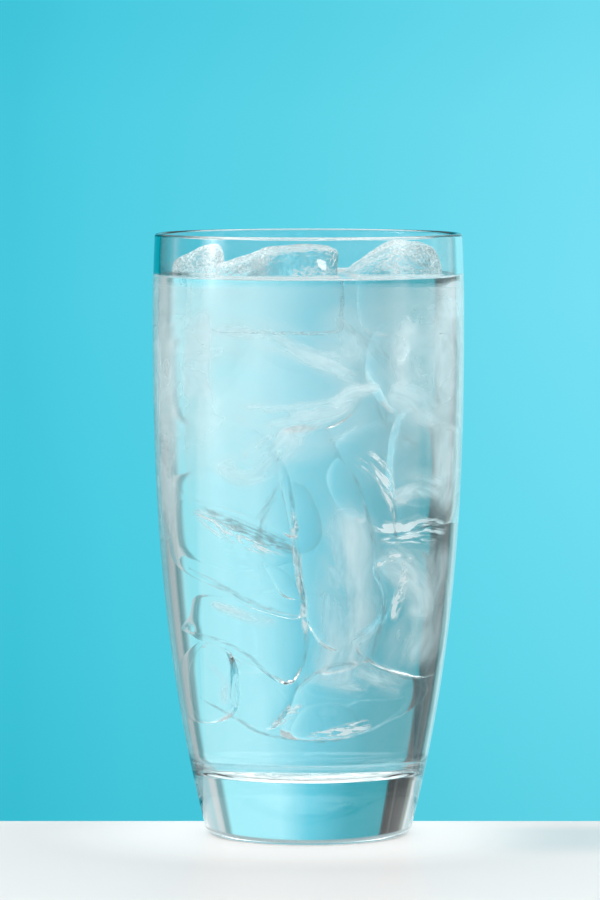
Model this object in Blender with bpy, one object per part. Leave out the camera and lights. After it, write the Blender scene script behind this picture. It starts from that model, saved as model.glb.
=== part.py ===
"""Iced water in a clear tapered tumbler.

The tumbler is one turned piece of glass: a thick solid foot with a rounded heel, a side that
flares out in one long curve, and a thin rounded lip. Water fills it to a little below the lip.
Three lumps of ice float in the top of the water and stand out of it, and the water is cut round
them. Units are metres, +Z is up, and the origin is the middle of the foot's underside.
"""

import math
from dataclasses import dataclass

import bmesh
import bpy
from mathutils import Matrix, Vector, noise

# Tumbler
HEIGHT = 0.150  # foot to lip
WIDEST_RADIUS = 0.03875  # outside, at WIDEST_HEIGHT
WIDEST_HEIGHT = 0.1305
FOOT_TAPER = 0.0134  # how far the side's curve has come in where it meets the floor
TAPER_POWER = 2.52  # how late that curve comes in
MOUTH_TAPER = 0.00055  # how far the side comes in again above WIDEST_HEIGHT
HEEL_RADIUS = 0.0032  # rounding between the side and the underside
LIP_WALL = 0.00165
FOOT_WALL = 0.0023
BASE_THICKNESS = 0.0160  # solid glass under the water
INNER_CORNER = 0.0075  # rounding between the inside wall and the inside floor

# Contents
WATER_LEVEL = 0.1395
GAP = 0.0004  # between pieces that touch, of which their facets take up to a quarter
ICE_UNEVENNESS = 0.0007  # how far the ice's faces wander in and out
ICE_UNEVEN_SCALE = 0.009  # over what distance they do

# Fineness of the faceted solids
SEGMENTS = 60  # round the axis
SIDE_STEPS = 9  # up the outside, and up the inside
SIDE_CROWDING = 1.25  # over 1 sets those steps closer together near the foot
ARC_STEPS = 4  # round the heel and the inner corner
LIP_STEPS = 4  # over the lip
ICE_CUTS = 5  # across each face of a lump
SAME_POINT = 0.000001  # points closer than this are one
SHARP_EDGE = 40.0  # degrees


@dataclass
class Lump:
    """One floating lump of ice: a worn block whose top falls away towards its local -X end."""

    name: str
    middle: tuple  # of its box
    size: tuple  # length, depth and height of its box
    turn: float  # degrees about Z
    low_end: float  # height of the top at the low end, as a share of its full height
    slope_reach: float  # share of the length over which the top climbs to full height
    edge_power: float  # 2 would make it an ellipsoid, a high power makes it a box
    seed: float


LUMPS = (
    Lump("ice_left", (-0.0277, 0.0092, 0.1367), (0.0136, 0.0150, 0.0222), -12.0, 0.70, 0.90, 4.5, 3.1),
    Lump("ice_middle", (-0.0078, -0.0095, 0.1364), (0.0306, 0.0205, 0.0226), 6.0, 0.60, 0.55, 12.0, 11.7),
    Lump("ice_right", (0.0207, 0.0010, 0.1363), (0.0247, 0.0235, 0.0244), 8.0, 0.45, 0.60, 5.0, 23.4),
)


def clear_scene():
    for old in list(bpy.data.objects):
        bpy.data.objects.remove(old, do_unlink=True)


def finish(name, colour, roughness, transmission, ior):
    """A plain see-through material for one sub-part."""
    material = bpy.data.materials.new(name)
    material.use_nodes = True
    shader = material.node_tree.nodes["Principled BSDF"]
    shader.inputs["Base Color"].default_value = (*colour, 1.0)
    shader.inputs["Roughness"].default_value = roughness
    shader.inputs["Metallic"].default_value = 0.0
    shader.inputs["Transmission Weight"].default_value = transmission
    shader.inputs["IOR"].default_value = ior
    return material


def outer_radius(z):
    """The tumbler's outside, without the roundings at the heel and the lip."""
    if z > WIDEST_HEIGHT:
        return WIDEST_RADIUS - MOUTH_TAPER * ((z - WIDEST_HEIGHT) / (HEIGHT - WIDEST_HEIGHT)) ** 2
    return WIDEST_RADIUS - FOOT_TAPER * ((WIDEST_HEIGHT - z) / WIDEST_HEIGHT) ** TAPER_POWER


def inner_radius(z):
    """The tumbler's inside, without the rounding at the floor."""
    return outer_radius(z) - LIP_WALL - (FOOT_WALL - LIP_WALL) * (1.0 - z / HEIGHT)


def rounded_corner(side, floor, radius, inset):
    """Points of the arc that joins a side, given by its radius at a height, to a level floor.

    The arc bends from the floor up to the side. inset moves it in from both.
    """
    centre_z = floor + radius
    lean = math.atan((side(centre_z + radius) - side(centre_z)) / radius)
    centre_r = side(centre_z) - radius / math.cos(lean)
    reach = radius - inset
    sweep = math.pi / 2 - lean
    angles = (-math.pi / 2 + sweep * step / ARC_STEPS for step in range(ARC_STEPS + 1))
    return [(centre_r + reach * math.cos(a), centre_z + reach * math.sin(a)) for a in angles]


def side_points(side, bottom, top, steps, inset=0.0):
    """Points up a side from just above bottom to top, closer together where it curves most."""
    shares = (((step + 1) / steps) ** SIDE_CROWDING for step in range(steps))
    return [(side(bottom + (top - bottom) * s) - inset, bottom + (top - bottom) * s) for s in shares]


def tumbler_outline():
    """From the middle of the underside, out, up, over the lip, down inside, to the middle."""
    lip = LIP_WALL / 2
    lip_z = HEIGHT - lip
    heel = rounded_corner(outer_radius, 0.0, HEEL_RADIUS, 0.0)
    outside = side_points(outer_radius, heel[-1][1], lip_z, SIDE_STEPS)
    lip_r = outer_radius(lip_z) - lip
    angles = [math.pi * step / LIP_STEPS for step in range(1, LIP_STEPS)]
    over = [(lip_r + lip * math.cos(a), lip_z + lip * math.sin(a)) for a in angles]
    corner = rounded_corner(inner_radius, BASE_THICKNESS, INNER_CORNER, 0.0)
    inside = side_points(inner_radius, corner[-1][1], lip_z, SIDE_STEPS)
    return [(0.0, 0.0), *heel, *outside, *over, *reversed(inside), *reversed(corner), (0.0, BASE_THICKNESS)]


def water_outline():
    """From the middle of the water's underside, out, up to the level, and in to the middle."""
    corner = rounded_corner(inner_radius, BASE_THICKNESS, INNER_CORNER, GAP)
    side = side_points(inner_radius, corner[-1][1], WATER_LEVEL, SIDE_STEPS, GAP)
    return [(0.0, BASE_THICKNESS + GAP), *corner, *side, (0.0, WATER_LEVEL)]


def turned(name, outline, material):
    """Spin an outline of (radius, height) points once round the Z axis into a closed body."""
    shape = bmesh.new()
    points = [shape.verts.new((radius, 0.0, height)) for radius, height in outline]
    edges = [shape.edges.new(pair) for pair in zip(points, points[1:])]
    bmesh.ops.spin(
        shape,
        geom=points + edges,
        cent=(0.0, 0.0, 0.0),
        axis=(0.0, 0.0, 1.0),
        angle=2 * math.pi,
        steps=SEGMENTS,
        use_merge=True,
    )
    bmesh.ops.remove_doubles(shape, verts=shape.verts, dist=SAME_POINT)
    bmesh.ops.recalc_face_normals(shape, faces=shape.faces)
    return body(name, shape, material)


def body(name, shape, material):
    """Put a finished bmesh into the scene as one smooth-shaded object."""
    mesh = bpy.data.meshes.new(name)
    shape.to_mesh(mesh)
    shape.free()
    mesh.materials.append(material)
    mesh.shade_smooth()
    mesh.set_sharp_from_angle(angle=math.radians(SHARP_EDGE))
    piece = bpy.data.objects.new(name, mesh)
    bpy.context.collection.objects.link(piece)
    return piece


def smooth_step(share):
    share = min(max(share, 0.0), 1.0)
    return share * share * (3.0 - 2.0 * share)


def lump_shape(lump, grow=0.0):
    """A worn block of ice with its top sloping down at one end, grown outwards by grow."""
    half = Vector(lump.size) / 2 - Vector((ICE_UNEVENNESS,) * 3)
    turn = Matrix.Rotation(math.radians(lump.turn), 3, "Z")
    shape = bmesh.new()
    bmesh.ops.create_cube(shape, size=2.0)
    bmesh.ops.subdivide_edges(shape, edges=shape.edges, cuts=ICE_CUTS, use_grid_fill=True)
    for vert in shape.verts:
        spot = vert.co.copy()
        rounding = sum(abs(c) ** lump.edge_power for c in spot) ** (1 / lump.edge_power)
        spot /= rounding
        if spot.z > 0:
            climb = smooth_step((spot.x + 1) / (2 * lump.slope_reach))
            spot.z *= lump.low_end + (1.0 - lump.low_end) * climb
        place = Vector(share * reach for share, reach in zip(spot, half))
        wander = noise.noise(place / ICE_UNEVEN_SCALE + Vector((lump.seed, 0.0, 0.0)))
        place += spot.normalized() * ICE_UNEVENNESS * wander
        vert.co = Vector(lump.middle) + turn @ place
    shape.normal_update()
    for vert, normal in [(v, v.normal.copy()) for v in shape.verts]:
        vert.co += normal * grow
    return shape


def cut_away(piece, cutters):
    """Cut hidden cutters out of a piece, one Boolean for each."""
    for cutter in cutters:
        cutter.hide_render = True
        cutter.display_type = "WIRE"
        cut = piece.modifiers.new("cut_" + cutter.name, "BOOLEAN")
        cut.operation = "DIFFERENCE"
        cut.solver = "EXACT"
        cut.object = cutter


def build():
    clear_scene()
    glass = finish("clear_glass", (0.93, 0.98, 0.98), 0.02, 1.0, 1.5)
    water = finish("water", (0.86, 0.97, 0.99), 0.0, 1.0, 1.333)
    ice = finish("ice", (0.84, 0.94, 0.95), 0.15, 0.9, 1.31)

    turned("tumbler", tumbler_outline(), glass)
    drink = turned("water", water_outline(), water)
    for lump in LUMPS:
        body(lump.name, lump_shape(lump), ice)
    cut_away(drink, [body(lump.name + "_pocket", lump_shape(lump, GAP), water) for lump in LUMPS])


build()
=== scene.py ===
"""Looks of the glass of iced water: turned glass, water with its meniscus, floating and sunken ice."""

import math
import random

import bmesh
import bpy
from mathutils import Euler, Matrix, Vector, noise
from mathutils.bvhtree import BVHTree


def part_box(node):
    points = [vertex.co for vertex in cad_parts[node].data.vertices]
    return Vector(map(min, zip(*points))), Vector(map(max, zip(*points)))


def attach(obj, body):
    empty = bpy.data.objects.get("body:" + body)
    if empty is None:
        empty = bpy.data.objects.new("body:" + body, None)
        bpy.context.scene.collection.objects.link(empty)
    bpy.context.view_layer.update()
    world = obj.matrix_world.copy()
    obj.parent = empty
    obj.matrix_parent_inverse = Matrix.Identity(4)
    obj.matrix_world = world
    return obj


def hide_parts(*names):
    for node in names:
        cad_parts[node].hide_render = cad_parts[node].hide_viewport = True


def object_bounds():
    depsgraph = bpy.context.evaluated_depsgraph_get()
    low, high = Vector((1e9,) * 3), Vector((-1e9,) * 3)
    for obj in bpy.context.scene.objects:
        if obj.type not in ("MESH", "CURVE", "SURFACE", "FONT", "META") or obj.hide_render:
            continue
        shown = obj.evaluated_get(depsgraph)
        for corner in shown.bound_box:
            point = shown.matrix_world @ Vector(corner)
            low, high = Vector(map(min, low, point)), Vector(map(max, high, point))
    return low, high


MM = 0.001

# ---------------------------------------------------------------- the maker's sizes, in metres

LIP_WALL = 1.65 * MM
FOOT_WALL = 2.30 * MM
BASE_THICKNESS = 16.0 * MM
HEEL_RADIUS = 3.2 * MM
INNER_CORNER = 7.5 * MM
WIDEST_SHARE = 0.87  # of the height, where the side is widest
FOOT_TAPER = 13.4 * MM
TAPER_POWER = 2.52
MOUTH_TAPER = 0.55 * MM

ICE_TO_WALL = 0.8 * MM
SLAB_TO_WALL = 2.4 * MM
WATER_INTO_WALL = 0.15 * MM  # how far the water reaches into the glass, so that no air shows
LEVEL_UNDER_CAD = 0.3 * MM  # the open water lies this far under its rim at the wall
WALL_RISE = 0.75 * MM  # how far the water climbs the glass
ICE_RISE = 0.8 * MM  # and the ice
RISE_REACH = 1.3 * MM

# painted glow: the emission colour given to cloudy ice and frost
PAINTED_GLOW = (0.31, 0.42, 0.445)  # light that cloudy ice passes on from its far side
KEY_BOX = 4.0  # brightness of the soft boxes at the sides, the backdrop being about 0.6
CEILING = 2.6  # of the white ceiling
OVERHEAD = 0.3  # of its unlit middle
FRONT = 0.4  # and of the room behind the camera

TURNED_SEGMENTS = 288
TOP_RINGS = 100
SLAB_LAYERS = 20
SEAM = 0.09 * MM
RIBBON_STEPS = 10
HAZE_STEPS = 40
BROAD = 11  # mm, from which a cloud is soft rather than wispy
CLOUDED_ABOVE = 104  # mm, over which the ice is too cloudy to show its seams
HAZE = ((-21, 74, 0.8), (-9, 66, 0.8), (5, 80, 0.8), (17, 86, 0.8))  # depth, lower end and strength


# ---------------------------------------------------------------- node tree helpers


def node(tree, kind, inputs=None, **settings):
    """Add a node, set its properties, and set or link its inputs by name or index."""
    made = tree.nodes.new(kind)
    for name, value in settings.items():
        setattr(made, name, value)
    for name, value in (inputs or {}).items():
        socket = made.inputs[name]
        if isinstance(value, bpy.types.NodeSocket):
            tree.links.new(value, socket)
        else:
            socket.default_value = value
    return made


def math_node(tree, operation, first, second=0.0, third=0.0):
    return node(tree, "ShaderNodeMath", {0: first, 1: second, 2: third}, operation=operation).outputs[0]


def ramp(tree, factor, stops, interpolation="LINEAR"):
    """A colour ramp from (position, grey or colour) stops."""
    made = node(tree, "ShaderNodeValToRGB", {"Fac": factor})
    made.color_ramp.interpolation = interpolation
    elements = made.color_ramp.elements
    while len(elements) < len(stops):
        elements.new(0.5)
    for element, (position, value) in zip(elements, stops):
        element.position = position
        element.color = (value, value, value, 1.0) if isinstance(value, float) else (*value, 1.0)
    return made.outputs["Color"]


def spread(tree, value, low, high, to_low=0.0, to_high=1.0, smooth=True):
    """Map a value from one range to another, held at its ends."""
    return node(
        tree,
        "ShaderNodeMapRange",
        {"Value": value, "From Min": low, "From Max": high, "To Min": to_low, "To Max": to_high},
        interpolation_type="SMOOTHSTEP" if smooth else "LINEAR",
    ).outputs["Result"]


def new_group(name, inputs, outputs):
    """An empty shader node group with named sockets. Returns the group, its input and output nodes."""
    group = bpy.data.node_groups.new(name, "ShaderNodeTree")
    for label, kind, value in inputs:
        socket = group.interface.new_socket(name=label, in_out="INPUT", socket_type=kind)
        socket.default_value = value
    for label, kind in outputs:
        group.interface.new_socket(name=label, in_out="OUTPUT", socket_type=kind)
    return group, group.nodes.new("NodeGroupInput"), group.nodes.new("NodeGroupOutput")


def place_group(tree, group, **inputs):
    made = tree.nodes.new("ShaderNodeGroup")
    made.node_tree = group
    for name, value in inputs.items():
        made.inputs[name].default_value = value
    return made


def new_material(name):
    """A material with a bare Principled shader, and its tree."""
    material = bpy.data.materials.new(name)
    material.use_nodes = True
    return material, material.node_tree, material.node_tree.nodes["Principled BSDF"]


# ---------------------------------------------------------------- shared surface effects


def make_waviness():
    """Slow waves drawn out along the height, as turned glass has."""
    group, given, out = new_group(
        "drawn_waviness",
        [("Across", "NodeSocketFloat", 60.0), ("Along", "NodeSocketFloat", 8.0)],
        [("Height", "NodeSocketFloat")],
    )
    where = node(group, "ShaderNodeTexCoord").outputs["Object"]
    stretch = node(
        group,
        "ShaderNodeCombineXYZ",
        {"X": given.outputs["Across"], "Y": given.outputs["Across"], "Z": given.outputs["Along"]},
    )
    drawn = node(group, "ShaderNodeVectorMath", {0: where, 1: stretch.outputs[0]}, operation="MULTIPLY")
    waves = node(group, "ShaderNodeTexNoise", {"Vector": drawn.outputs[0], "Scale": 1.0, "Detail": 1.0})
    group.links.new(waves.outputs["Fac"], out.inputs["Height"])
    return group


def make_melt():
    """Dimples and fine ripples of ice that has begun to melt."""
    group, given, out = new_group(
        "melt_relief",
        [("Dimples", "NodeSocketFloat", 160.0), ("Grain", "NodeSocketFloat", 900.0), ("Grain Share", "NodeSocketFloat", 0.2)],
        [("Height", "NodeSocketFloat"), ("Patches", "NodeSocketFloat")],
    )
    where = node(group, "ShaderNodeTexCoord").outputs["Object"]
    broad = node(
        group, "ShaderNodeTexNoise", {"Vector": where, "Scale": given.outputs["Dimples"], "Detail": 2.0}
    ).outputs["Fac"]
    grain = node(
        group, "ShaderNodeTexNoise", {"Vector": where, "Scale": given.outputs["Grain"], "Detail": 3.0}
    ).outputs["Fac"]
    fine = math_node(group, "MULTIPLY", grain, given.outputs["Grain Share"])
    group.links.new(math_node(group, "ADD", broad, fine), out.inputs["Height"])
    patches = node(group, "ShaderNodeTexNoise", {"Vector": where, "Scale": 110.0, "Detail": 3.0}).outputs["Fac"]
    group.links.new(spread(group, patches, 0.42, 0.62), out.inputs["Patches"])
    return group


def make_streaks():
    """Milky wisps frozen into ice: soft clouds, drawn out along each sheet's own flow."""
    group, given, out = new_group(
        "milky_wisps",
        [
            ("Size", "NodeSocketFloat", 60.0),
            ("Thin", "NodeSocketFloat", 0.45),
            ("Thick", "NodeSocketFloat", 0.75),
            ("Most", "NodeSocketFloat", 0.6),
        ],
        [("Cover", "NodeSocketFloat")],
    )
    flow = node(group, "ShaderNodeAttribute", attribute_name="flow").outputs["Vector"]
    bend = node(group, "ShaderNodeTexNoise", {"Vector": flow, "Scale": 120.0, "Detail": 2.0}).outputs["Color"]
    push = node(group, "ShaderNodeVectorMath", {0: bend, "Scale": 0.008}, operation="SCALE").outputs[0]
    bent = node(group, "ShaderNodeVectorMath", {0: flow, 1: push}, operation="ADD").outputs[0]
    wisps = node(
        group,
        "ShaderNodeTexNoise",
        {"Vector": bent, "Scale": given.outputs["Size"], "Detail": 4.0, "Roughness": 0.5},
    ).outputs["Fac"]
    cover = node(
        group,
        "ShaderNodeMapRange",
        {"Value": wisps, "From Min": given.outputs["Thin"], "From Max": given.outputs["Thick"]},
        interpolation_type="SMOOTHSTEP",
    ).outputs["Result"]
    group.links.new(math_node(group, "MULTIPLY", cover, given.outputs["Most"]), out.inputs["Cover"])
    return group


# ---------------------------------------------------------------- finishes


def clear_finish(name, tint, ior, roughness=0.0):
    """Clear glass, water or ice: a fully transmissive shader with the given tint, IOR and roughness."""
    material, tree, shader = new_material(name)
    shader.inputs["Base Color"].default_value = (*tint, 1.0)
    shader.inputs["Roughness"].default_value = roughness
    shader.inputs["Metallic"].default_value = 0.0
    shader.inputs["Transmission Weight"].default_value = 1.0
    shader.inputs["IOR"].default_value = ior
    return material, tree, shader


def relief(tree, shader, height, strength, distance):
    bump = node(tree, "ShaderNodeBump", {"Height": height, "Strength": strength, "Distance": distance})
    tree.links.new(bump.outputs["Normal"], shader.inputs["Normal"])


def glass_finish(waviness):
    material, tree, shader = clear_finish("clear_glass", (0.975, 0.995, 0.992), 1.5)
    waves = place_group(tree, waviness, Across=120.0, Along=9.0)
    relief(tree, shader, waves.outputs["Height"], 0.5, 0.06 * MM)
    return material


def water_finish(waviness):
    material, tree, shader = clear_finish("water", (0.985, 0.998, 1.0), 1.333)
    waves = place_group(tree, waviness, Across=40.0, Along=40.0)
    relief(tree, shader, waves.outputs["Height"], 0.3, 0.05 * MM)
    return material


def sunken_ice_finish(melt):
    """Ice under water: only its small difference from the water bends light."""
    material, tree, shader = clear_finish("ice_under_water", (0.995, 0.999, 1.0), 1.019)
    ripples = place_group(tree, melt, Dimples=90.0, Grain=500.0)
    ripples.inputs["Grain Share"].default_value = 0.08
    relief(tree, shader, ripples.outputs["Height"], 0.6, 0.6 * MM)
    return material


def seam_finish():
    """Creases and healed cracks, which bend light more than the ice round them."""
    material, tree, shader = clear_finish("ice_seams", (0.99, 0.998, 1.0), 1.16)
    return material


def open_ice_finish(melt):
    """Ice in the air: wet and clear."""
    material, tree, shader = clear_finish("ice_in_air", (0.985, 0.995, 1.0), 1.31)
    ripples = place_group(tree, melt, Dimples=300.0, Grain=1100.0)
    ripples.inputs["Grain Share"].default_value = 0.4
    relief(tree, shader, ripples.outputs["Height"], 0.8, 0.5 * MM)
    return material


def frost_finish(melt):
    """Fine white grains on the ice, dense in some places and open in others, with a painted glow that grows where they
    lie thick.
    """
    material, tree, shader = new_material("frost")
    shader.inputs["Base Color"].default_value = (0.80, 0.86, 0.87, 1.0)
    shader.inputs["Roughness"].default_value = 0.35
    shader.inputs["Emission Color"].default_value = (*PAINTED_GLOW, 1.0)
    shader.inputs["Emission Strength"].default_value = 0.5
    where = node(tree, "ShaderNodeTexCoord").outputs["Object"]
    grains = node(tree, "ShaderNodeTexNoise", {"Vector": where, "Scale": 1500.0, "Detail": 2.0}).outputs["Fac"]
    grainy = spread(tree, grains, 0.46, 0.60)
    clumps = node(tree, "ShaderNodeTexNoise", {"Vector": where, "Scale": 260.0, "Detail": 4.0}).outputs["Fac"]
    soft = spread(tree, clumps, 0.32, 0.72, 0.22, 0.62)
    cover = math_node(tree, "MULTIPLY", math_node(tree, "MULTIPLY_ADD", grainy, 0.6, 0.4), soft)
    thick = node(tree, "ShaderNodeAttribute", attribute_name="fade").outputs["Fac"]
    tree.links.new(math_node(tree, "MULTIPLY", cover, thick), shader.inputs["Alpha"])
    # painted glow: stronger where the frost is thick, strongest at the painted glint
    tree.links.new(spread(tree, thick, 2.0, 4.5, 0.62, 1.8, smooth=False), shader.inputs["Emission Strength"])
    relief(tree, shader, math_node(tree, "ADD", grains, clumps), 1.0, 0.5 * MM)
    return material


def unseen_finish():
    """Where ice passes through the water's top there is no surface."""
    material, tree, shader = new_material("no_surface")
    open_shader = node(tree, "ShaderNodeBsdfTransparent")
    tree.links.new(open_shader.outputs[0], tree.nodes["Material Output"].inputs["Surface"])
    tree.nodes.remove(shader)
    return material


def milk_finish(streaks, name, colour, **pattern):
    """Cloudy ice: thin white scattering sheets with a painted glow, wispy, faded by each sheet's own cover."""
    material, tree, shader = new_material(name)
    shader.inputs["Base Color"].default_value = (*colour, 1.0)
    shader.inputs["Roughness"].default_value = 0.8
    shader.inputs["Specular IOR Level"].default_value = 0.0
    # painted glow: the sheets give off light of their own, standing in for light the cloudy ice passes on
    shader.inputs["Emission Color"].default_value = (*PAINTED_GLOW, 1.0)
    shader.inputs["Emission Strength"].default_value = 1.0
    wisps = place_group(tree, streaks, **pattern)
    fade = node(tree, "ShaderNodeAttribute", attribute_name="fade").outputs["Fac"]
    cover = math_node(tree, "MULTIPLY", wisps.outputs["Cover"], fade)
    tree.links.new(math_node(tree, "MINIMUM", cover, 0.95), shader.inputs["Alpha"])
    return material


def table_finish():
    material, tree, shader = new_material("white_table")
    where = node(tree, "ShaderNodeTexCoord").outputs["Object"]
    faint = node(tree, "ShaderNodeTexNoise", {"Vector": where, "Scale": 6.0, "Detail": 3.0}).outputs["Fac"]
    white = ramp(tree, faint, [(0.3, (0.86, 0.825, 0.81)), (0.7, (0.88, 0.845, 0.83))])
    axes = node(tree, "ShaderNodeSeparateXYZ", {0: where})
    # painted shadow: the table is darkened in a soft band to the right of the glass, just in front of its foot
    beside = spread(tree, axes.outputs["X"], 32 * MM, 60 * MM)
    nearer = spread(tree, axes.outputs["Y"], -48 * MM, -18 * MM)
    farther = spread(tree, axes.outputs["Y"], 18 * MM, 2 * MM)
    painted_shadow = math_node(tree, "MULTIPLY", math_node(tree, "MULTIPLY", beside, nearer), farther)
    shaded = node(
        tree, "ShaderNodeMix", {"Factor": painted_shadow, 6: white, 7: (0.68, 0.72, 0.725, 1.0)}, data_type="RGBA"
    ).outputs[2]
    tree.links.new(shaded, shader.inputs["Base Color"])
    # painted light: the table glows round the foot of the glass, most near it, standing in for light the glass brings
    # onto it
    away = node(tree, "ShaderNodeVectorMath", {0: where}, operation="LENGTH").outputs["Value"]
    painted_light_pool = spread(tree, away, 18 * MM, 72 * MM, 0.34, 0.0)
    shader.inputs["Emission Color"].default_value = (1.0, 1.0, 0.98, 1.0)
    tree.links.new(painted_light_pool, shader.inputs["Emission Strength"])
    shader.inputs["Roughness"].default_value = 0.45
    return material


# ---------------------------------------------------------------- turned pieces


def outer_radius(z, height, widest):
    """The outside of the tumbler at a height, without the roundings at heel and lip."""
    widest_z = height * WIDEST_SHARE
    if z > widest_z:
        return widest - MOUTH_TAPER * ((z - widest_z) / (height - widest_z)) ** 2
    return widest - FOOT_TAPER * ((widest_z - z) / widest_z) ** TAPER_POWER


def arc(side, floor, radius, inset, steps):
    """Points of the arc from a level floor up to a side given by its radius at a height."""
    centre_z = floor + radius
    lean = math.atan((side(centre_z + radius) - side(centre_z)) / radius)
    centre_r = side(centre_z) - radius / math.cos(lean)
    reach = radius - inset
    sweep = math.pi / 2 - lean
    angles = (-math.pi / 2 + sweep * step / steps for step in range(steps + 1))
    return [(centre_r + reach * math.cos(a), centre_z + reach * math.sin(a)) for a in angles]


def side_run(side, bottom, top, steps, inset=0.0):
    """Points up a side from just above bottom to top, close together at both ends.

    There the roundings begin, and their normals must not spread far along the side.
    """
    shares = ((1 - math.cos(math.pi * (step + 1) / steps)) / 2 for step in range(steps))
    heights = [bottom + (top - bottom) * share for share in shares]
    return [(side(z) - inset, z) for z in heights]


def across(radius, height, steps):
    """Points from the axis out to just before a radius, at one height."""
    return [(radius * step / steps, height) for step in range(steps)]


def turned_mesh(outline, segments):
    """Turn an outline that starts and ends on the axis into a closed bmesh of quads."""
    shape = bmesh.new()
    rows = []
    for radius, z in outline:
        if radius < 1e-7:
            rows.append([shape.verts.new((0.0, 0.0, z))] * segments)
            continue
        turn = (2 * math.pi * step / segments for step in range(segments))
        rows.append([shape.verts.new((radius * math.cos(a), radius * math.sin(a), z)) for a in turn])
    for low, high in zip(rows, rows[1:]):
        for i in range(segments):
            j = (i + 1) % segments
            corners = [low[i], low[j], high[j], high[i]]
            corners = [c for n, c in enumerate(corners) if c not in corners[:n]]
            shape.faces.new(corners)
    return shape


def piece(name, shape, *materials):
    """A smooth-shaded object from a bmesh, with its materials in slots."""
    mesh = bpy.data.meshes.new(name)
    shape.to_mesh(mesh)
    shape.free()
    for material in materials:
        mesh.materials.append(material)
    mesh.shade_smooth()
    made = bpy.data.objects.new(name, mesh)
    bpy.context.collection.objects.link(made)
    return made


def tumbler_outline(outside, inside, height):
    lip = LIP_WALL / 2
    lip_z = height - lip
    heel = arc(outside, 0.0, HEEL_RADIUS, 0.0, 14)
    lip_r = outside(lip_z) - lip
    over = [
        (lip_r + lip * math.cos(math.pi * step / 24), lip_z + lip * math.sin(math.pi * step / 24))
        for step in range(1, 24)
    ]
    corner = arc(inside, BASE_THICKNESS, INNER_CORNER, 0.0, 20)
    return [
        *across(heel[0][0], 0.0, 10),
        *heel,
        *side_run(outside, heel[-1][1], lip_z, 76),
        *over,
        *reversed(side_run(inside, corner[-1][1], lip_z, 76)),
        *reversed(corner),
        *reversed(across(corner[0][0], BASE_THICKNESS, 12)),
    ]


# ---------------------------------------------------------------- ice


def smooth_step(share):
    share = min(max(share, 0.0), 1.0)
    return share * share * (3.0 - 2.0 * share)


def ice_block(size, cuts, power, wander, scale, seed, low_end=1.0, reach=1.0, frost=0.0, dishes=()):
    """A worn block about the origin, in its own axes.

    power rounds its edges, wander and scale make its faces uneven, low_end and reach let its top
    fall away towards -X, and each dish is a ball (centre, radius), in shares of the half size,
    whose surface its faces are pressed in by.
    """
    half = Vector(size) / 2 - Vector((wander,) * 3)
    shape = bmesh.new()
    bmesh.ops.create_cube(shape, size=2.0)
    bmesh.ops.subdivide_edges(shape, edges=shape.edges, cuts=cuts, use_grid_fill=True)
    for vert in shape.verts:
        spot = vert.co.copy()
        spot = Vector(math.sin(c * 1.3) / math.sin(1.3) for c in spot)
        spot /= sum(abs(c) ** power for c in spot) ** (1 / power)
        for centre, radius in dishes:
            away = spot - Vector(centre)
            if away.length < radius:
                spot = Vector(centre) + away.normalized() * radius
        if spot.z > 0:
            spot.z *= low_end + (1.0 - low_end) * smooth_step((spot.x + 1) / (2 * reach))
        place = Vector(share * extent for share, extent in zip(spot, half))
        unevenness = noise.noise(place / scale + Vector((seed, 0.0, 0.0)))
        unevenness += 0.4 * noise.noise(place / scale * 2.7 + Vector((0.0, seed, 0.0)))
        unevenness -= frost * abs(noise.noise(place / (1.1 * MM))) + frost * abs(noise.noise(place / (0.5 * MM))) / 2
        vert.co = place + spot.normalized() * wander * unevenness
    return shape


def moved(shape, middle, turn):
    """Turn a bmesh by degrees about X, Y and Z, and move it."""
    angles = Euler([math.radians(a) for a in turn], "XYZ")
    bmesh.ops.transform(shape, matrix=Matrix.Translation(middle) @ angles.to_matrix().to_4x4(), verts=shape.verts)
    return shape


def joined(shapes):
    """One bmesh from several."""
    whole = bmesh.new()
    for shape in shapes:
        mesh = bpy.data.meshes.new("part")
        shape.to_mesh(mesh)
        shape.free()
        whole.from_mesh(mesh)
        bpy.data.meshes.remove(mesh)
    return whole


# ---------------------------------------------------------------- the room


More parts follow.
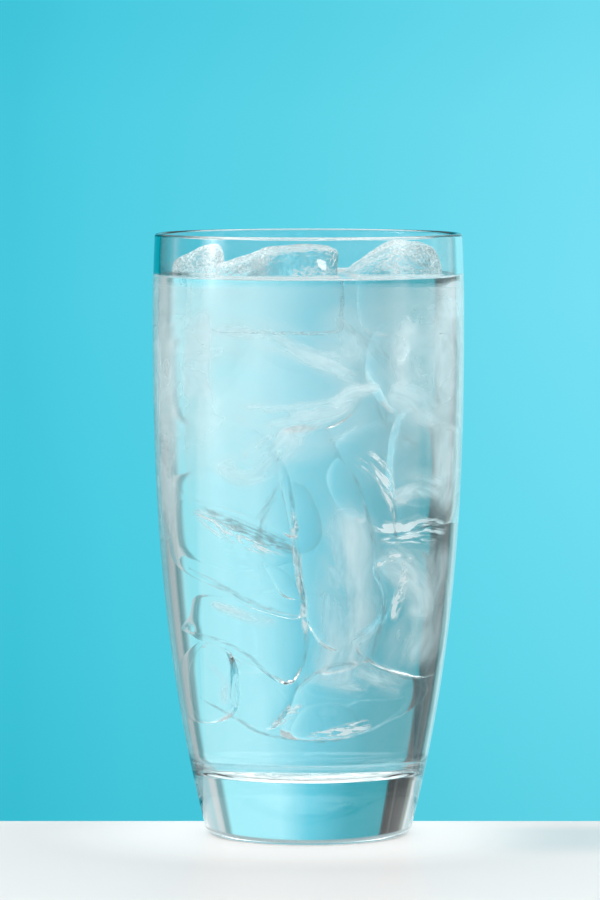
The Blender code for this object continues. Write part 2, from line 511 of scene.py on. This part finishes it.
def make_room():
    """Daylight studio: a blue-green backdrop behind, white boxes at the sides, a pale ceiling."""
    world = bpy.data.worlds.new("studio")
    bpy.context.scene.world = world
    world.use_nodes = True
    tree = world.node_tree
    tree.nodes.clear()
    way = node(tree, "ShaderNodeTexCoord").outputs["Generated"]
    axes = node(tree, "ShaderNodeSeparateXYZ", {0: way})
    turn = math_node(tree, "ARCTAN2", axes.outputs["X"], axes.outputs["Y"])
    share = math_node(tree, "MULTIPLY_ADD", turn, 1 / (2 * math.pi), 0.5)
    height = axes.outputs["Z"]

    def ring(*stops):
        """Colours by compass degrees, 0 behind the glass and 90 to its right."""
        return ramp(tree, share, [(degrees / 360 + 0.5, value) for degrees, value in stops])

    deep = (0.0, 0.32, 0.39)
    teal = (0.004, 0.36, 0.46)
    cyan = (0.09, 0.60, 0.76)
    bright = (0.36, 0.87, 0.99)
    light = (0.33, 0.87, 0.97)
    side = (0.16, 0.52, 0.60)
    grey = (0.13, 0.34, 0.38)
    pale = (0.78, 0.86, 0.88)
    soft = (0.55, 0.64, 0.66)
    mist = (0.30, 0.58, 0.64)
    dark = (0.0, 0.004, 0.005)
    moss = (0.12, 0.17, 0.14)
    front = (FRONT, FRONT, FRONT)
    ceiling = (CEILING, CEILING, CEILING)
    overhead = (OVERHEAD, OVERHEAD, OVERHEAD)
    walls = ring(
        (-122, front), (-114, pale), (-96, pale), (-91, side), (-70, side), (-66, mist), (-58, pale),
        (-54, moss), (-51, moss), (-50, dark), (-46, dark), (-45.5, pale), (-45, dark),
        (-38, dark), (-37.6, pale), (-37.2, dark), (-32.5, dark), (-31.5, deep), (-14, teal), (0, cyan),
        (10, bright), (35, light), (38, grey), (41, grey), (43, soft), (48, soft), (51, mist), (62, mist),
        (98, side), (104, pale), (122, front),
    )
    boxes = ring((-118, 0.0), (-108, 1.0), (-105, 1.8), (-103, 1.8), (-100, 1.0), (-91, 0.0), (98, 0.0), (104, 0.2), (112, 0.2), (118, 0.0))
    upper = ring((-122, front), (-95, (0.30, 0.42, 0.45)), (95, (0.30, 0.42, 0.45)), (122, front))
    above_floor = spread(tree, height, -0.05, 0.06)
    box_light = math_node(tree, "MULTIPLY", math_node(tree, "MULTIPLY", boxes, above_floor), KEY_BOX)
    through = node(tree, "ShaderNodeLightPath").outputs["Is Transmission Ray"]
    box_light = math_node(tree, "MULTIPLY", box_light, math_node(tree, "MULTIPLY_ADD", through, -0.8, 1.0))
    glow = node(tree, "ShaderNodeVectorMath", {0: (1.0, 1.0, 1.0), "Scale": box_light}, operation="SCALE").outputs[0]
    lit = node(tree, "ShaderNodeVectorMath", {0: walls, 1: glow}, operation="ADD").outputs[0]
    below = node(
        tree,
        "ShaderNodeMix",
        {"Factor": spread(tree, height, -0.66, -0.54), 6: (0.78, 0.86, 0.88, 1.0), 7: (0.11, 0.54, 0.66, 1.0)},
        data_type="RGBA",
    ).outputs[2]
    plain = node(
        tree, "ShaderNodeMix", {"Factor": spread(tree, height, -0.34, -0.24), 6: below, 7: lit}, data_type="RGBA"
    ).outputs[2]
    mid = node(
        tree,
        "ShaderNodeMix",
        {"Factor": spread(tree, height, 0.22, 0.36), 6: plain, 7: upper},
        data_type="RGBA",
    ).outputs[2]
    high = node(
        tree, "ShaderNodeMix", {"Factor": spread(tree, height, 0.56, 0.66), 6: mid, 7: (*ceiling, 1.0)}, data_type="RGBA"
    ).outputs[2]
    room = node(
        tree,
        "ShaderNodeMix",
        {"Factor": spread(tree, height, 0.84, 0.91), 6: high, 7: (*overhead, 1.0)},
        data_type="RGBA",
    ).outputs[2]
    # painted light and shade on the backdrop the camera sees straight: darker to the left, lightest across its upper
    # part, fading above and below
    left_to_right = spread(tree, turn, -0.0515, 0.0515, smooth=False)
    seen = ramp(
        tree,
        left_to_right,
        [(0.03, (0.063, 0.584, 0.739)), (0.17, (0.082, 0.624, 0.784)), (0.5, (0.115, 0.665, 0.815)), (0.98, (0.181, 0.745, 0.905))],
    )
    tall = ramp(
        tree,
        spread(tree, height, -0.14, 0.01, smooth=False),
        [
            (0.08, (0.64, 0.88, 0.885)), (0.24, (0.75, 0.935, 0.935)), (0.41, (0.85, 0.975, 0.975)),
            (0.66, (1.0, 1.0, 1.0)), (0.87, (0.95, 0.99, 0.985)), (0.98, (0.82, 0.95, 0.955)),
        ],
    )
    seen = node(tree, "ShaderNodeVectorMath", {0: seen, 1: tall}, operation="MULTIPLY").outputs[0]
    straight = node(tree, "ShaderNodeLightPath").outputs["Is Camera Ray"]
    colour = node(tree, "ShaderNodeMix", {"Factor": straight, 6: room, 7: seen}, data_type="RGBA").outputs[2]
    back = node(tree, "ShaderNodeBackground", {"Color": colour, "Strength": 1.0})
    out = node(tree, "ShaderNodeOutputWorld")
    tree.links.new(back.outputs[0], out.inputs["Surface"])


def make_table():
    """A pale slab whose back edge lies close behind the glass."""
    shape = bmesh.new()
    bmesh.ops.create_cube(shape, size=1.0)
    low, high = Vector((-1.3, -1.7, -0.03)), Vector((1.3, 0.024, -0.02 * MM))
    for vert in shape.verts:
        vert.co = Vector((l + (h - l) * (c + 0.5)) for c, l, h in zip(vert.co, low, high))
    bmesh.ops.bevel(shape, geom=shape.edges[:], offset=1.5 * MM, segments=4, profile=0.5, affect="EDGES")
    table = piece("table", shape, table_finish())


def make_camera():
    data = bpy.data.cameras.new("camera")
    data.sensor_width = 36.0
    data.lens = 233.4
    data.clip_end = 50.0
    camera = bpy.data.objects.new("camera", data)
    camera.location = (-0.0021, -1.45, 0.193)
    camera.rotation_euler = (math.radians(90 - 3.829), 0.0, 0.0)
    bpy.context.collection.objects.link(camera)
    bpy.context.scene.camera = camera


# ---------------------------------------------------------------- making

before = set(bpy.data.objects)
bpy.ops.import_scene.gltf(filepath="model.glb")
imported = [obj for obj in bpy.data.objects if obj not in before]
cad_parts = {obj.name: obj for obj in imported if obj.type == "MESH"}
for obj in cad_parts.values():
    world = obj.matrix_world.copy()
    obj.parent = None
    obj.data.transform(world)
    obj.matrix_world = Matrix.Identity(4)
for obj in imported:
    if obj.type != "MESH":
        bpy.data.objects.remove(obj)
cad_low, cad_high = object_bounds()
make_camera()

scene = bpy.context.scene
scene.view_settings.view_transform = "Standard"
scene.cycles.max_bounces = 40
scene.cycles.transmission_bounces = 40
scene.cycles.glossy_bounces = 8
scene.cycles.diffuse_bounces = 4
scene.cycles.transparent_max_bounces = 48

HEIGHT = cad_high.z
WIDEST = cad_high.x


def outside(z):
    return outer_radius(z, HEIGHT, WIDEST)


def inside(z):
    return outside(z) - LIP_WALL - (FOOT_WALL - LIP_WALL) * (1.0 - z / HEIGHT)


def put(made, node_names):
    """Let a piece stand for CAD nodes, on the one body."""
    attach(made, "root")
    if node_names:
        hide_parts(*node_names)
    return made


waviness, melt, streaks = make_waviness(), make_melt(), make_streaks()
glass = glass_finish(waviness)
water = water_finish(waviness)
wet_ice = sunken_ice_finish(melt)
air_ice = open_ice_finish(melt)
frost = frost_finish(melt)
creased = seam_finish()
unseen = unseen_finish()
milk = milk_finish(streaks, "milky_ice", (0.93, 0.97, 0.98), Size=260.0, Thin=0.26, Thick=0.78, Most=0.8)
soft_milk = milk_finish(streaks, "cloudy_ice", (0.93, 0.97, 0.98), Size=190.0, Thin=0.16, Thick=0.80, Most=0.68)
# painted shade: dark sheets with a faint glow, standing in for the dim side of the room seen through the ice
shade = milk_finish(streaks, "painted_shade_ice", (0.03, 0.16, 0.20), Size=1300.0, Thin=0.30, Thick=0.76, Most=0.62)
shade.node_tree.nodes["Principled BSDF"].inputs["Emission Strength"].default_value = 0.1
feather = milk_finish(streaks, "feathery_ice", (0.96, 0.98, 0.99), Size=1100.0, Thin=0.40, Thick=0.66, Most=0.9)

put(piece("turned_tumbler", turned_mesh(tumbler_outline(outside, inside, HEIGHT), TURNED_SEGMENTS), glass), ["tumbler"])

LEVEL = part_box("water")[1].z - LEVEL_UNDER_CAD

# floating lumps: middle, size, turn about Z, low end, slope reach, edge power, seed, dishes
FLOATING = {
    "ice_left": ((-27.7, 9.2, 136.7), (13.6, 15.0, 22.2), -12.0, 0.70, 0.90, 4.5, 3.1, ()),
    "ice_middle": ((-7.8, -9.5, 136.4), (30.6, 20.5, 22.6), 6.0, 0.60, 0.55, 12.0, 11.7, (((-0.2, -1.85, 0.1), 1.0),)),
    "ice_right": ((20.7, 1.0, 136.3), (24.7, 23.5, 24.4), 8.0, 0.45, 0.60, 5.0, 23.4, ()),
}

# a painted glint on the near face of the middle lump, standing in for a facet's reflection of the key light: across and
# up
PAINTED_GLINT = (3.3 * MM, 142.6 * MM)
PAINTED_GLINT_RADIUS = 1.45 * MM


def frost_over(block, name, thickness, clear_end):
    """A thin frosty skin on what stands out of the water, thinning out towards +X when clear_end is over 0, and made
    thick, white and glowing round the painted glint on the near face.
    """
    skin = block.copy()
    fade = skin.verts.layers.float.new("fade")
    low_x = min(vert.co.x for vert in skin.verts)
    high_x = max(vert.co.x for vert in skin.verts)
    for vert, normal in [(v, v.normal.copy()) for v in skin.verts]:
        along = (vert.co.x - low_x) / (high_x - low_x)
        above = smooth_step((vert.co.z - LEVEL - 0.3 * MM) / (1.5 * MM))
        vert[fade] = above * thickness * (1 - clear_end * smooth_step((along - 0.35) / 0.2))
        from_glint = max(abs(vert.co.x - PAINTED_GLINT[0]), abs(vert.co.z - PAINTED_GLINT[1] + 0.4 * (vert.co.x - PAINTED_GLINT[0])))
        from_glint += 0.5 * MM * noise.noise(vert.co / (1.1 * MM))
        # painted glint: the frost is made dense and glowing on the near face round the glint's spot
        if vert.normal.y < 0:
            vert[fade] += 4 * smooth_step(2 - 2 * from_glint / PAINTED_GLINT_RADIUS)
        vert.co += normal * 0.05 * MM
    under = [face for face in skin.faces if face.calc_center_median().z < LEVEL + 0.3 * MM]
    bmesh.ops.delete(skin, geom=under, context="FACES")
    put(piece("frost_on_" + name, skin, frost), [])


# how thick the frost is, and how much of it is missing at the right-hand end
FROST = {"ice_left": (1.7, 0.0), "ice_middle": (1.6, 0.9), "ice_right": (1.2, 0.0)}

lump_trees = []
for name, (middle, size, turn, low_end, reach, power, seed, dishes) in FLOATING.items():
    block = ice_block(
        [s * MM for s in size], 95, power, 0.7 * MM, 9.0 * MM, seed, low_end=low_end, reach=reach, frost=0.5, dishes=dishes
    )
    moved(block, [m * MM for m in middle], (0.0, 0.0, turn))
    lump_trees.append(BVHTree.FromBMesh(block))
    block.normal_update()
    frost_over(block, name, *FROST[name])
    for face in block.faces:
        if face.calc_center_median().z > LEVEL + 0.5 * MM:
            face.material_index = 1
    put(piece("floating_" + name, block, wet_ice, air_ice), [name])


def beyond_ice(spot):
    """How far a point lies outside the floating lumps, less than nothing inside one."""
    least = 1.0
    for lump in lump_trees:
        near, normal, _, distance = lump.find_nearest(spot)
        least = min(least, math.copysign(distance, (spot - near).dot(normal)))
    return least


def make_water():
    corner = arc(inside, BASE_THICKNESS, INNER_CORNER, -WATER_INTO_WALL, 20)
    floor = across(corner[0][0], BASE_THICKNESS - WATER_INTO_WALL, 10)
    contact = LEVEL + WALL_RISE
    sides = side_run(inside, corner[-1][1], contact, 64, -WATER_INTO_WALL)
    edge = sides[-1][0]
    top = [(edge * (1 - (step / TOP_RINGS) ** 1.05), contact) for step in range(1, TOP_RINGS + 1)]
    shape = turned_mesh([*floor, *corner, *sides, *top], TURNED_SEGMENTS)
    gaps = {}
    for vert in shape.verts:
        if vert.co.z < contact - 1e-6:
            continue
        from_wall = max(edge - WATER_INTO_WALL - vert.co.xy.length, 0.0)
        from_ice = beyond_ice(Vector((vert.co.x, vert.co.y, LEVEL + 0.4 * MM)))
        gaps[vert] = from_ice
        vert.co.z = LEVEL + WALL_RISE * math.exp(-from_wall / RISE_REACH)
        vert.co.z += ICE_RISE * math.exp(-max(from_ice, 0.0) / RISE_REACH)
    for face in shape.faces:
        if all(gaps.get(vert, 1.0) < -0.25 * MM for vert in face.verts):
            face.material_index = 1
    return piece("water_body", shape, water, unseen)


put(make_water(), ["water"])

def held_inside(shape, clear):
    """Press a surface in where it would pass through the glass."""
    for vert in shape.verts:
        reach = vert.co.xy.length
        most = inside(vert.co.z) - clear
        if reach > most:
            vert.co.xy *= most / reach
    return shape


def smooth_run(points, steps, closed):
    """Points of a smooth curve through the given ones."""
    spots = [Vector(p) for p in points]
    if closed:
        spots = [spots[-1], *spots, spots[0], spots[1]]
    else:
        spots = [spots[0] * 2 - spots[1], *spots, spots[-1] * 2 - spots[-2]]
    made = []
    for before, start, end, after in zip(spots, spots[1:], spots[2:], spots[3:]):
        for step in range(steps):
            t = step / steps
            bow = (before * 2 - start * 5 + end * 4 - after) * t**2
            twist = (start * 3 - before - end * 3 + after) * t**3
            made.append((start * 2 + (end - before) * t + bow + twist) / 2)
    if not closed:
        made.append(spots[-2])
    return made


def melted_slab(outline, middle_y, depth, lean, seed):
    """A block of ice known by its outline as (across, up), leaning back to the right and upwards.

    Its faces bulge a little, and it thins out to a rounded edge at the outline.
    """
    run = smooth_run([(x * MM, z * MM) for x, z in outline], 7, closed=True)
    middle = sum(run, Vector((0.0, 0.0))) / len(run)
    rows = []
    shape = bmesh.new()
    for layer in range(SLAB_LAYERS + 1):
        turn = math.pi * (layer / SLAB_LAYERS - 0.5)
        size = max(math.cos(turn), 0.0) ** 0.45
        deep = math.copysign(abs(math.sin(turn)) ** 0.6, turn) * depth * MM / 2
        row = []
        for spot in run:
            flat = middle + (spot - middle) * max(size, 0.02)
            away = flat - middle
            y = middle_y * MM + deep + lean[0] * away.x + lean[1] * away.y
            place = Vector((flat.x, y, flat.y))
            uneven = noise.noise_vector(place / (13 * MM) + Vector((seed, 0.0, 0.0)))
            finer = noise.noise_vector(place / (5 * MM) + Vector((0.0, seed, 0.0)))
            row.append(shape.verts.new(place + uneven * 1.1 * MM + finer * 0.25 * MM))
        rows.append(row)
    for low, high in zip(rows, rows[1:]):
        for i in range(len(run)):
            j = (i + 1) % len(run)
            shape.faces.new((low[i], high[i], high[j], low[j]))
    shape.faces.new(rows[0])
    shape.faces.new(reversed(rows[-1]))
    bmesh.ops.recalc_face_normals(shape, faces=shape.faces)
    held_inside(shape, SLAB_TO_WALL)
    rim = [vert.co.copy() for vert in rows[SLAB_LAYERS // 2]]
    return shape, [*rim, rim[0]]


def seam(run, radius, seed):
    """A fine thread of ice along a line, swelling and thinning on its way."""
    shape = bmesh.new()
    rows = []
    for number, spot in enumerate(run):
        ahead = (run[min(number + 1, len(run) - 1)] - run[max(number - 1, 0)]).normalized()
        aside = ahead.cross(Vector((0.0, 1.0, 0.0))).normalized()
        upon = ahead.cross(aside)
        swell = noise.noise(spot / (7 * MM) + Vector((seed, 0.0, 0.0)))
        thick = radius * min(max(0.65 + 0.9 * swell, 0.25), 1.1)
        turns = (2 * math.pi * step / 8 for step in range(8))
        rows.append([shape.verts.new(spot + (aside * math.cos(a) + upon * math.sin(a)) * thick) for a in turns])
    for low, high in zip(rows, rows[1:]):
        for i in range(8):
            shape.faces.new((low[i], low[(i + 1) % 8], high[(i + 1) % 8], high[i]))
    shape.faces.new(rows[0])
    shape.faces.new(reversed(rows[-1]))
    bmesh.ops.recalc_face_normals(shape, faces=shape.faces)
    return shape


# sunken blocks: middle depth, thickness, lean, then the outline as (across, up) points
SUNKEN = (
    # under the waterline
    (0, 30, (0.2, -0.2), ((14, 128), (24, 129), (32, 125), (33, 114), (27, 106), (19, 104), (14, 109), (11, 118))),
    # the large block at the left and what leans on it
    (-6, 18, (0.15, 0.9), ((-30, 105), (-27, 107.5), (-18, 105.5), (-9, 101), (-5, 95), (-3, 84), (-3, 76), (-14, 82), (-27, 86), (-32, 93))),
    (-2, 26, (0.2, 0.1), ((19, 107), (27, 106), (32, 98), (31, 88), (25, 83), (17, 86), (16, 97))),
    # the tall slab in the middle
    (-10, 16, (0.25, 0.1), ((-7, 101), (2, 103), (6, 97), (10.5, 87), (13, 78), (14.5, 69), (16.5, 62), (14, 53), (6, 48), (1, 51), (-1.5, 62), (-3.5, 74), (-5.5, 88))),
    # slabs at the left, each tipped down to the right
    (-8, 22, (0.1, 0.35), ((-29, 75), (-27.5, 82), (-24, 83.8), (-13, 79), (-3.5, 73.5), (-1.5, 67), (-1, 57), (-10, 58), (-17, 62), (-28, 67.5))),
    (-13, 8, (0.1, -0.2), ((-9.5, 70), (-6, 68), (-3, 64), (-2, 60.5), (-5.5, 61.5), (-8, 65.5))),
    (-4, 26, (0.1, 0.3), ((-25, 51.5), (-23, 55), (-20.5, 61), (-10, 58.5), (-1.5, 55), (-0.5, 47), (-4.5, 40), (-13, 46), (-21, 50))),
    (-2, 24, (0.0, 0.2), ((-24, 36), (-23.5, 44), (-20, 49.5), (-16, 48.5), (-14, 43), (-14.6, 35), (-17, 31), (-21, 30), (-23.6, 32.5))),
    (-6, 20, (0.1, 0.1), ((-15, 39), (-13, 45), (-6, 41.5), (-2, 40), (-4, 33.5), (-8, 28.8), (-12.5, 29.5), (-14.5, 34))),
    # the dome at the bottom and the lens inside it
    (-4, 26, (-0.1, 0.2), ((-5.5, 30), (-3, 36), (0.5, 41.5), (4, 45), (8, 46), (14, 43.5), (21, 41), (23, 37), (20.5, 33), (14, 29), (9, 26.7), (1, 26), (-5, 27))),
    (-10, 10, (0.1, 0.0), ((-4, 29), (-1, 34), (5, 35.5), (9.5, 33), (10.5, 29), (8, 26.5), (2, 26), (-3, 26.8))),
    # at the right
    (-5, 24, (0.1, 0.1), ((13.2, 69.5), (15.5, 70.5), (18, 71.8), (22.5, 71.2), (26.5, 66.5), (28, 60), (28.6, 50), (26, 41.5), (22, 41), (14, 44.5), (9.6, 49), (9.2, 51.5), (12.5, 54), (15.2, 60))),
    # behind
    (17, 18, (0.1, 0.3), ((-24, 120), (-8, 124), (6, 121), (9, 108), (-2, 100), (-20, 102))),
    (17, 18, (-0.2, -0.2), ((6, 100), (18, 103), (25, 94), (22, 80), (10, 76), (3, 86))),
    (17, 18, (0.2, 0.3), ((-22, 86), (-10, 92), (0, 86), (1, 72), (-10, 66), (-21, 72))),
    (16, 16, (-0.2, 0.1), ((-14, 58), (-2, 62), (10, 58), (12, 46), (0, 40), (-13, 44))),
)
blocks, seams = [], []
for number, (y, depth, lean, outline) in enumerate(SUNKEN):
    block, rim = melted_slab(outline, y, depth, lean, 3.7 * number)
    blocks.append(block)
    if y < 10 and max(z for _, z in outline) < CLOUDED_ABOVE:
        seams.append(seam(rim, SEAM, number * 1.7))
put(piece("sunken_ice", joined(blocks), wet_ice), [])

# folds and healed cracks: depth, then points as (across, up)
CREASES = (
    (-14, ((-8.5, 99), (-6, 92), (-5, 84), (-4, 76), (-2.5, 70), (-1.5, 62), (-0.5, 54), (-0.3, 46), (-1.5, 38))),
    (-13, ((-0.9, 96), (1, 92), (3, 88), (5, 85.5))),
    (-13, ((-3, 80), (-2.8, 86), (-1, 90), (1.5, 92))),
    (-12, ((6.2, 98), (8, 94), (10.6, 86), (12.4, 78))),
    (-12, ((-26, 68), (-20, 65.5), (-12, 60.5), (-6, 58), (-1, 57))),
    (-12, ((-25, 52), (-20, 51), (-14, 48), (-8.5, 43), (-3.5, 40))),
    (-11, ((-24, 36), (-20, 34), (-15, 31), (-11, 28), (-3, 26.4), (5, 26.2), (10, 27))),
    (-12, ((-22, 57), (-19.5, 60), (-18, 62))),
    (-13, ((14, 69), (15.5, 64), (16, 57), (14.5, 50), (13.7, 47))),
    (-13, ((9, 51), (10.5, 48), (14, 45), (18, 42.5), (24, 41))),
    (-10, ((22, 70), (21, 64), (19, 58), (19.5, 52))),
)
for number, (y, points) in enumerate(CREASES):
    flat = smooth_run([(x * MM, z * MM) for x, z in points], 10, closed=False)
    sway = [3 * MM * noise.noise(Vector((x, z, number)) / (12 * MM)) for x, z in flat]
    seams.append(seam([Vector((x, y * MM + off, z)) for (x, z), off in zip(flat, sway)], 1.2 * SEAM, number * 2.9))

# fine grooves melted along the top of the slab at the left
for number in range(9):
    share = number / 8
    top = Vector((-22.5 + 1.5 * share, 83.6 - 2.4 * share))
    end = Vector((-3.2, 73.8 - 1.6 * share))
    bow = Vector((-12.5, 79.6 - 4.2 * share))
    flat = smooth_run([top, bow, end], 16, closed=False)
    seams.append(seam([Vector((x * MM, -13.5 * MM, z * MM)) for x, z in flat], 0.9 * SEAM, number * 4.3))
put(piece("seams_in_ice", joined(seams), creased), [])


def milky_ribbon(run, y, strength, seed):
    """A ribbon of milkiness through (across, up, width) points, thinning out to its edges."""
    line = smooth_run([(x * MM, z * MM, width * MM) for x, z, width in run], 12, closed=False)
    shape = bmesh.new()
    fade = shape.verts.layers.float.new("fade")
    flow = shape.verts.layers.float_vector.new("flow")
    rows = []
    travelled = 0.0
    for number, spot in enumerate(line):
        ahead = (line[min(number + 1, len(line) - 1)] - line[max(number - 1, 0)]).xy.normalized()
        aside = Vector((-ahead.y, ahead.x))
        if number:
            travelled += (spot - line[number - 1]).xy.length
        ends = smooth_step(6 * min(number, len(line) - 1 - number) / len(line))
        row = []
        for step in range(RIBBON_STEPS + 1):
            out = 2 * step / RIBBON_STEPS - 1
            flat = spot.xy + aside * out * spot.z / 2
            sway = noise.noise(Vector((flat.x, flat.y, seed)) / (14 * MM)) * 3 * MM
            vert = shape.verts.new((flat.x, y * MM + sway, flat.y))
            vert[fade] = strength * ends * (1 - out * out) ** 1.6
            vert[flow] = Vector((travelled * 0.28, out * spot.z / 2, seed))
            row.append(vert)
        rows.append(row)
    for low, high in zip(rows, rows[1:]):
        for i in range(RIBBON_STEPS):
            shape.faces.new((low[i], low[i + 1], high[i + 1], high[i]))
    return held_inside(shape, ICE_TO_WALL)


def haze(y, low, high, strength, seed):
    """A sheet of fine milkiness across the whole glass, denser towards its sides."""
    shape = bmesh.new()
    fade = shape.verts.layers.float.new("fade")
    flow = shape.verts.layers.float_vector.new("flow")
    rows = []
    for step in range(HAZE_STEPS + 1):
        share = step / HAZE_STEPS
        z = (low + (high - low) * share) * MM
        half = math.sqrt((inside(z) - ICE_TO_WALL) ** 2 - (y * MM) ** 2)
        row = []
        for column in range(HAZE_STEPS + 1):
            out = 2 * column / HAZE_STEPS - 1
            sway = noise.noise(Vector((out * half, z, seed)) / (18 * MM)) * 3 * MM
            vert = shape.verts.new((out * half, y * MM + sway, z))
            vert[fade] = strength * smooth_step(share * 1.8) * (0.22 + 0.78 * out * out)
            vert[flow] = Vector((out * half * 0.2, z * 0.34, seed))
            row.append(vert)
        rows.append(row)
    for lower, upper in zip(rows, rows[1:]):
        for i in range(HAZE_STEPS):
            shape.faces.new((lower[i], lower[i + 1], upper[i + 1], upper[i]))
    return held_inside(shape, ICE_TO_WALL)


# soft clouds: depth, strength, then points as (across, up, width)
CLOUDS = (
    (-14, 0.8, ((-29, 127, 5), (-17, 127.5, 7), (-8, 126, 8), (1, 121, 9), (8, 116.5, 10), (13, 113, 7))),
    (-12, 0.8, ((-17, 107, 6), (-8, 106, 9), (4, 108, 8), (9, 111, 6), (15, 112.3, 3))),
    (-10, 1.0, ((-7, 103, 6), (-2, 99, 13), (4, 103, 15), (12, 108, 10))),
    (-14, 0.6, ((-14, 124, 4), (-4, 122, 6), (4, 118.5, 6), (10, 115, 4))),
    (-12, 1.1, ((4, 107, 3), (9, 111.5, 5), (16, 113, 3))),
    (-8, 1.7, ((15, 112, 7), (20, 110, 11), (24, 107, 11), (28, 102, 7))),
    (-12, 0.9, ((-20, 96, 6), (-13, 92, 12), (-7, 97, 13), (-2, 104, 9))),
    (-5, 1.3, ((15, 84, 6), (21, 88, 10), (28, 86, 9))),
    (-9, 1.15, ((5, 87, 8), (8, 76, 16), (8, 64, 18), (8, 54, 16), (6, 44, 13), (4, 37, 7))),
    (-6, 0.9, ((9, 44, 6), (15, 41, 9), (20, 38, 8))),
    (-4, 2.0, ((-31, 132, 8), (-32, 116, 10), (-31, 100, 9), (-30, 84, 8), (-29, 68, 6))),
    (-12, 1.3, ((-24, 134, 9), (-25, 120, 13), (-24, 108, 9))),
    (-4, 2.4, ((27, 137, 9), (29, 124, 13), (30, 108, 13), (29, 92, 11), (28, 78, 7))),
    (-12, 1.3, ((22, 130, 9), (20, 120, 11), (22, 112, 11))),
    (-10, 0.7, ((4, 133, 9), (8, 126, 13), (10, 118, 13))),
    (-8, 1.6, ((14, 74, 7), (20, 68, 15), (23.5, 61, 13), (23, 54, 7))),
    (-8, 0.9, ((22, 58, 5), (20, 50, 11), (18, 43, 8))),
    (-6, 1.2, ((27, 76, 10), (27, 64, 14), (25.5, 52, 12), (22, 42, 8))),
    (0, 2.6, ((29, 138.5, 10), (30, 134, 11), (30.5, 128, 11))),
    (-12, 0.9, ((-22, 60, 2), (-14, 57, 4), (-6, 54, 4))),
    (-12, 1.0, ((-22, 45, 2), (-18, 40, 4), (-17, 34, 4))),
    (-12, 0.8, ((-2, 42, 3), (5, 40, 6), (13, 38, 5))),
)
# crisp feathery streaks
FEATHERS = (
    (-14, 1.6, ((11, 97, 8), (15, 93, 7), (17.4, 86, 3.4), (18.2, 79, 0.8))),
    (-8, 1.8, ((12, 79, 3), (18, 77.5, 5), (24, 78.5, 6), (31, 77, 5))),
    (-9, 1.5, ((14, 74.5, 2), (20, 75.5, 3.5), (28, 74, 3))),
    (-12, 2.0, ((20.5, 70.5, 1.2), (20.5, 66, 2.4), (19, 60, 3.4), (18, 55, 2))),
    (-12, 1.5, ((13, 68.5, 1.6), (18, 71, 2.8), (23, 70.5, 2.0))),
    (-14, 2.0, ((-1, 27.2, 1.6), (6, 28.3, 3.2), (11, 29.6, 4.0), (14, 30.5, 2))),
    (-13, 1.2, ((-8, 29, 2), (-5, 32, 3), (-1, 35, 2.6))),
    (-14, 1.2, ((-26, 83, 2), (-20, 79, 5), (-13, 75, 5), (-4, 71, 3))),
    (-13, 1.2, ((-3.5, 84, 1.5), (-2.6, 74, 2.5), (-1.2, 62, 2.5), (-0.5, 50, 2))),
    (-13, 1.0, ((20, 132, 1), (21.8, 127, 2.4), (21, 121, 2.8), (18, 118, 1.5))),
)
# painted shade: dark sheets on the lines and bands where the ice turns the light aside and shows the dim side of the
# room
PAINTED_SHADES = (
    (-13, 1.3, ((-24, 83.4, 1.2), (-19, 80.8, 3.4), (-12, 77, 5.0), (-6, 74.4, 4.6), (-2.2, 72.4, 2))),
    (-13, 0.9, ((-4.2, 92, 0.6), (-3.4, 84, 1.2), (-2.4, 74, 1.6), (-1.2, 62, 1.6), (-0.5, 52, 1.2), (-1.2, 42, 0.6))),
    (-12, 0.8, ((-26, 67.5, 0.6), (-19, 64.6, 1.2), (-11, 60, 1.5), (-5, 57.6, 1.2), (-1, 56.6, 0.6))),
    (-12, 0.8, ((-25, 51.6, 0.6), (-19, 50.6, 1.2), (-13, 47.4, 1.3), (-8, 42.6, 1.0), (-4, 40.4, 0.5))),
    (-11, 0.8, ((-24, 35.6, 0.6), (-19, 33.4, 1.0), (-14, 30.4, 1.2), (-9, 27.6, 1.0), (2, 25.8, 1.0), (10, 26.8, 0.6))),
    (-13, 0.9, ((13.6, 70, 0.6), (15.2, 64, 1.4), (15.6, 57, 1.8), (14.2, 50, 1.4), (13.4, 46, 0.6))),
    (-13, 0.9, ((9, 51, 0.6), (11, 47.4, 1.5), (15, 44.4, 1.6), (20, 41.6, 1.2), (24, 40.6, 0.6))),
    (-12, 0.7, ((8.6, 93, 0.6), (11, 86, 1.2), (12.8, 78, 1.4), (14.4, 70, 0.8))),
    (-14, 0.8, ((17, 88, 0.6), (18, 83, 1.8), (18.6, 78, 1.6), (18.8, 74, 0.6))),
    (-12, 0.45, ((14, 112, 1), (16, 105, 5), (20, 100, 6), (24, 97, 3))),
    (-12, 0.4, ((6, 129, 1), (12, 124, 5), (18, 119, 6), (25, 117, 3))),
    (-12, 0.6, ((-6, 90, 1), (-9, 82, 3), (-10, 76, 3), (-9, 70, 1))),
    (-12, 0.7, ((-4, 36, 1), (-1, 40.5, 1.4), (5, 44.6, 1.4), (11, 44.8, 1.2), (16, 42.6, 0.6))),
)
wispy, soft = [], [haze(y, low, 137, strength, y * 0.7) for y, low, strength in HAZE]
for number, (y, strength, run) in enumerate(CLOUDS):
    broad = max(width for _, _, width in run) >= BROAD
    (soft if broad else wispy).append(milky_ribbon(run, y, strength, 2.3 * number))
put(piece("milky_clouds", joined(soft), soft_milk), [])
put(piece("milky_wisps", joined(wispy), milk), [])
feathers = [milky_ribbon(run, y, strength, 5.1 * number) for number, (y, strength, run) in enumerate(FEATHERS)]
put(piece("feathery_streaks", joined(feathers), feather), [])
painted_shades = [milky_ribbon(run, y, strength, 4.1 * number) for number, (y, strength, run) in enumerate(PAINTED_SHADES)]
put(piece("painted_shade_streaks", joined(painted_shades), shade), [])

make_room()
make_table()
